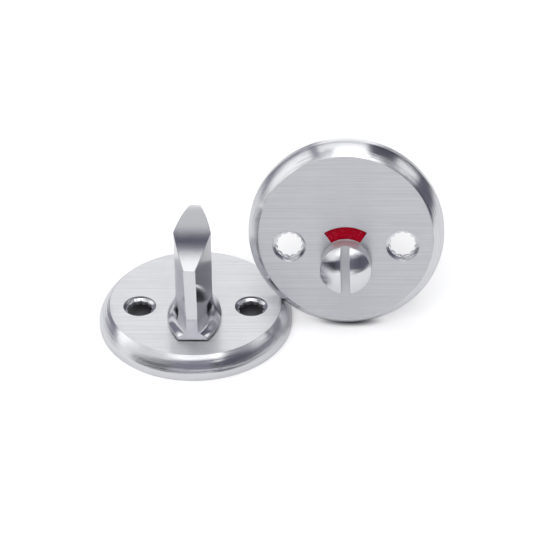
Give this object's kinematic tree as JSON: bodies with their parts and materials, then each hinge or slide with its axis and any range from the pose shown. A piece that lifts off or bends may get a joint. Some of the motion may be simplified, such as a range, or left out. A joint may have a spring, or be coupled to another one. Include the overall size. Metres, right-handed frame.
{
  "type": "bathroom thumb turn lock",
  "caption": "Bathroom lock set: a round rose with a winged thumb turn, and a round rose with a coin-slot release knob and a red occupied window on a square spindle.",
  "frame": {"origin": "centre of the inside rose's back face", "axes": "+Z out of the inside rose's front, along the thumb turn; +X along its screw line, towards the outside rose"},
  "size_m": [0.0924, 0.1041, 0.0513],
  "materials": {
    "satin_chrome": "satin chrome with fine straight brushing on the flat faces",
    "polished_chrome": "semi-polished chrome",
    "satin_chrome_knob": "satin chrome, brushed along the coin slot",
    "zinc_steel": "zinc plated steel, dull",
    "spring_steel": "oiled dark spring steel",
    "nylon": "natural nylon, matt",
    "white_plastic": "white plastic, matt",
    "red_plastic": "deep red plastic, lightly glossy"
  },
  "bodies": {
    "roses": {"inside_rose": "satin_chrome", "inside_bush": "nylon", "outside_rose": "satin_chrome", "outside_bush": "nylon"},
    "turn": {"thumb_turn": "polished_chrome", "inside_stop_disc": "zinc_steel", "inside_spring_washer": "spring_steel", "inside_flat_washer": "zinc_steel", "inside_circlip": "spring_steel"},
    "release": {"release_knob": "satin_chrome_knob", "indicator_disc": "white_plastic", "indicator_red_insert": "red_plastic", "outside_spring_washer": "spring_steel", "outside_flat_washer": "zinc_steel", "outside_circlip": "spring_steel", "spindle": "zinc_steel", "spindle_pin": "zinc_steel"}
  },
  "joints": [
    {"name": "turn_hinge", "type": "hinge", "parent": "roses", "child": "turn", "pos_m": [0, -0.007, 0], "axis": [0, 0, 1], "range_deg": [0, 90]},
    {"name": "release_hinge", "type": "hinge", "parent": "roses", "child": "release", "pos_m": [0.04063, 0.00496, 0.01856], "axis": [-0.0596, -0.9748, 0.215], "range_deg": [-90, 0]}
  ]
}
